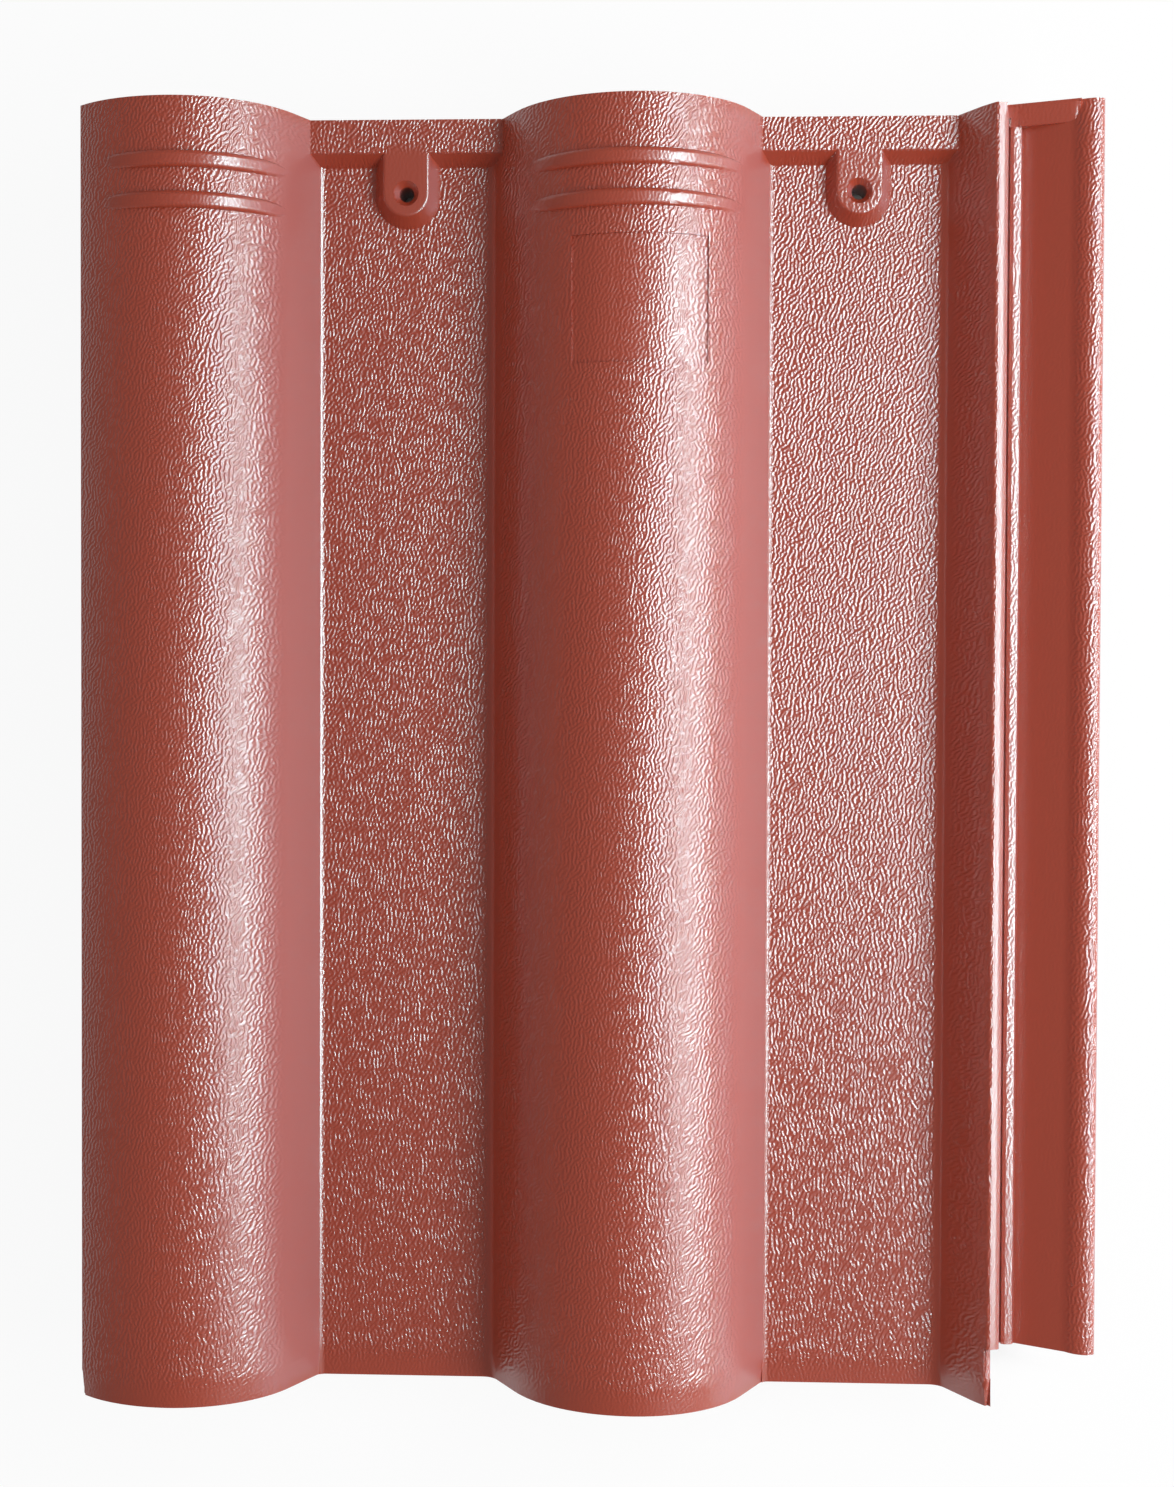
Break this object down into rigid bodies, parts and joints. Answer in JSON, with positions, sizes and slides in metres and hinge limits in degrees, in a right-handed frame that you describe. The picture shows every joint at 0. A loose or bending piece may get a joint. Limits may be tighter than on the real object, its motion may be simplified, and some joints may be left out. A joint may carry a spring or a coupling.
{
  "type": "concrete roof tile",
  "caption": "Flat-lying interlocking roof tile with rounded rolls, flat pans, raised head bars, nail bosses and a lowered side lock, red-brown painted concrete.",
  "frame": {"origin": "middle of the tile's plan, at the level its nibs and tail lip stand on", "axes": "+X across the tile towards the side lock, +Y up the roof slope towards the nail holes, +Z out of the upper face"},
  "size_m": [0.332, 0.424, 0.0612],
  "materials": {
    "painted_concrete": "glossy red-brown paint over pressed concrete, leather-grained upper face, plain underside"
  },
  "bodies": {
    "root": {"roof_tile": "painted_concrete"}
  },
  "joints": []
}
